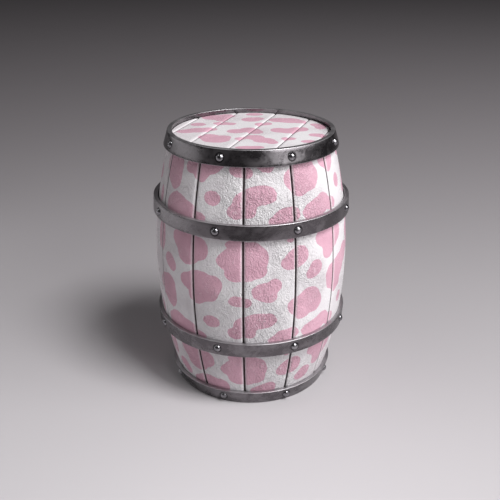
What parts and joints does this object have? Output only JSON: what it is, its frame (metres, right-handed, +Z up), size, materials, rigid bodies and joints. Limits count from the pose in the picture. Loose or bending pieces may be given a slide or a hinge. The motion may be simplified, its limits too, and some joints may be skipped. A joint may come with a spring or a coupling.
{
  "type": "barrel",
  "caption": "Small bulged wooden barrel with painted staves, recessed board heads at both ends and riveted iron hoops.",
  "frame": {"origin": "centre of the ring of the bottom hoop that the barrel stands on, level with the floor", "axes": "+Z up along the barrel's axis; -Y towards the picture's camera; +X to the camera's right"},
  "size_m": [0.3234, 0.3234, 0.436],
  "materials": {
    "painted_stave": "satin",
    "painted_head": "satin",
    "bare_wood": "matte",
    "hoop_iron": "satin",
    "rivet_steel": "gloss"
  },
  "bodies": {
    "root": {"stave_01": "painted_stave", "stave_02": "painted_stave", "stave_03": "painted_stave", "stave_04": "painted_stave", "stave_05": "painted_stave", "stave_06": "painted_stave", "stave_07": "painted_stave", "stave_08": "painted_stave", "stave_09": "painted_stave", "stave_10": "painted_stave", "stave_11": "painted_stave", "stave_12": "painted_stave", "top_head_board_1": "painted_head", "top_head_board_2": "painted_head", "top_head_board_3": "painted_head", "top_head_board_4": "painted_head", "top_head_board_5": "painted_head", "top_head_board_6": "painted_head", "bottom_head_board_1": "painted_head", "bottom_head_board_2": "painted_head", "bottom_head_board_3": "painted_head", "bottom_head_board_4": "painted_head", "bottom_head_board_5": "painted_head", "bottom_head_board_6": "painted_head", "top_head_dowels": "bare_wood", "bottom_head_dowels": "bare_wood", "top_hoop": "hoop_iron", "upper_bilge_hoop": "hoop_iron", "lower_bilge_hoop": "hoop_iron", "bottom_hoop": "hoop_iron", "top_hoop_rivets": "rivet_steel", "upper_bilge_hoop_rivets": "rivet_steel", "lower_bilge_hoop_rivets": "rivet_steel", "bottom_hoop_rivets": "rivet_steel"}
  },
  "joints": []
}
